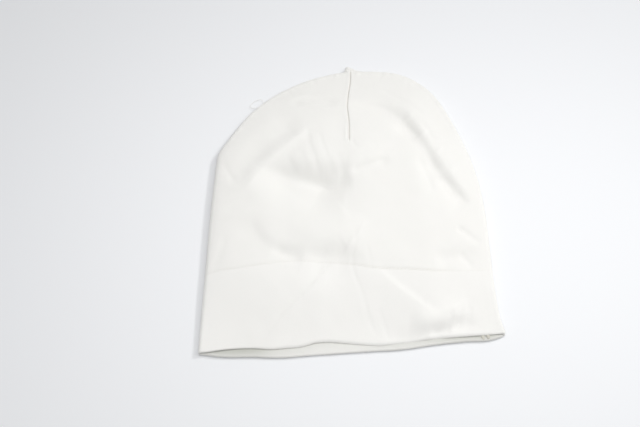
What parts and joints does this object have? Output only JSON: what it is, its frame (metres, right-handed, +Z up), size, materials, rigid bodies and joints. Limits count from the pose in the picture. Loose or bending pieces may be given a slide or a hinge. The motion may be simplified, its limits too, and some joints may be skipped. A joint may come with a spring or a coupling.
{
  "type": "nightcap",
  "caption": "Close-fitting jersey sleep cap lying flat: open mouth with a deep turned-in hem, curved seam over the crown, dart in the upper face and a small tip of seam ends.",
  "frame": {"origin": "middle of the cap's bounding box at its base, on the surface that it lies on", "axes": "+Y from the mouth to the crown, +X to the right across the cap, +Z up through the upper face"},
  "size_m": [0.2364, 0.2772, 0.0173],
  "materials": {
    "jersey": "matt white cotton jersey"
  },
  "bodies": {
    "root": {"cap": "jersey"}
  },
  "joints": []
}
